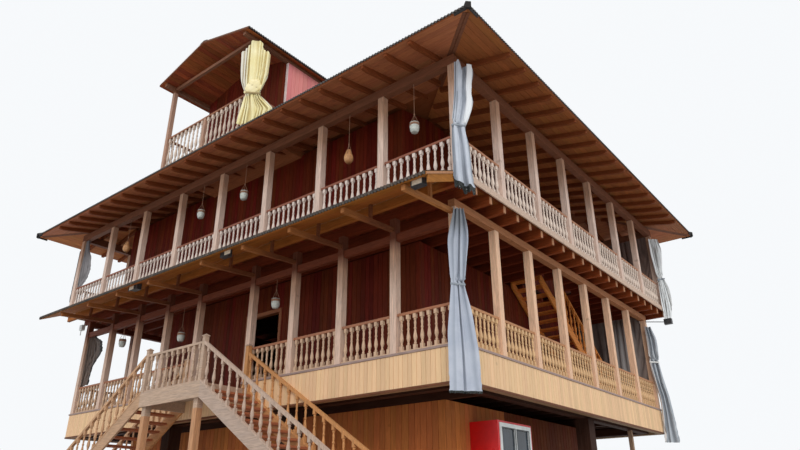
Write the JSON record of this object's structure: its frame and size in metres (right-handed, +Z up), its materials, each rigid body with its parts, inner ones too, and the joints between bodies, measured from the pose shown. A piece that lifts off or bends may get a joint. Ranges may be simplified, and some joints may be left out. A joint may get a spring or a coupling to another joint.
{
  "type": "stilt house",
  "caption": "Raised timber house with wrap-round galleries, turned-baluster railings, an outside stair with a landing, a low hip roof and a small rooftop belvedere.",
  "frame": {"origin": "centre of the plan, on the ground", "axes": "+Z up, -Y out of the front with the stair, +X out of the near side gallery, along the longer plan side"},
  "size_m": [16.652, 13.452, 13.0657],
  "materials": {
    "weathered_wood": "weathered sawn timber",
    "pale_turned_wood": "weathered turned timber",
    "golden_wood": "oiled turned timber",
    "pale_board": "clear finished boards",
    "dark_wood": "dark stained boards",
    "brown_wood": "brown stained timber",
    "grey_wood": "grey weathered timber",
    "orange_wood": "new varnished timber",
    "red_paint": "painted boards",
    "pink_paint": "painted boards",
    "roof_sheet": "dark coated corrugated sheet",
    "white_frame": "moulded window profile",
    "pane": "clear pane",
    "grey_cloth": "light woven cloth",
    "yellow_cloth": "light woven cloth",
    "lantern_clay": "unglazed",
    "lamp_case": "powder coated"
  },
  "bodies": {
    "root": {"ground_posts": "dark_wood", "ground_walls": "brown_wood", "booth": "red_paint", "booth_window": "white_frame", "booth_glass": "pane", "lower_girders": "dark_wood", "lower_joists": "dark_wood", "lower_deck": "brown_wood", "lower_skirt": "pale_board", "lower_sill": "grey_wood", "lower_posts": "weathered_wood", "lower_rail_front": "pale_turned_wood", "lower_rail_back": "pale_turned_wood", "lower_rail_right": "golden_wood", "lower_rail_left": "golden_wood", "lower_beams": "weathered_wood", "lower_core": "dark_wood", "stair_landing": "grey_wood", "landing_rail": "pale_turned_wood", "right_flight": "grey_wood", "right_flight_rails": "orange_wood", "left_flight": "grey_wood", "left_flight_rails": "orange_wood", "gallery_stair": "orange_wood", "gallery_stair_rail": "orange_wood", "upper_joists": "brown_wood", "upper_deck": "brown_wood", "upper_edge": "weathered_wood", "front_ledge": "brown_wood", "ledge_brackets": "orange_wood", "upper_posts": "weathered_wood", "upper_rail_front": "pale_turned_wood", "upper_rail_back": "pale_turned_wood", "upper_rail_right": "pale_turned_wood", "upper_rail_left": "pale_turned_wood", "upper_core": "dark_wood", "eave_plates": "brown_wood", "rafters": "brown_wood", "hip_roof": "roof_sheet", "roof_caps": "roof_sheet", "belvedere_deck": "grey_wood", "belvedere_frame": "weathered_wood", "belvedere_rail": "pale_turned_wood", "belvedere_roof": "brown_wood", "belvedere_walls": "dark_wood", "belvedere_panel": "pink_paint", "belvedere_curtain": "yellow_cloth", "gallery_curtains": "grey_cloth", "hanging_lanterns": "lantern_clay", "floodlights": "lamp_case"}
  },
  "joints": []
}
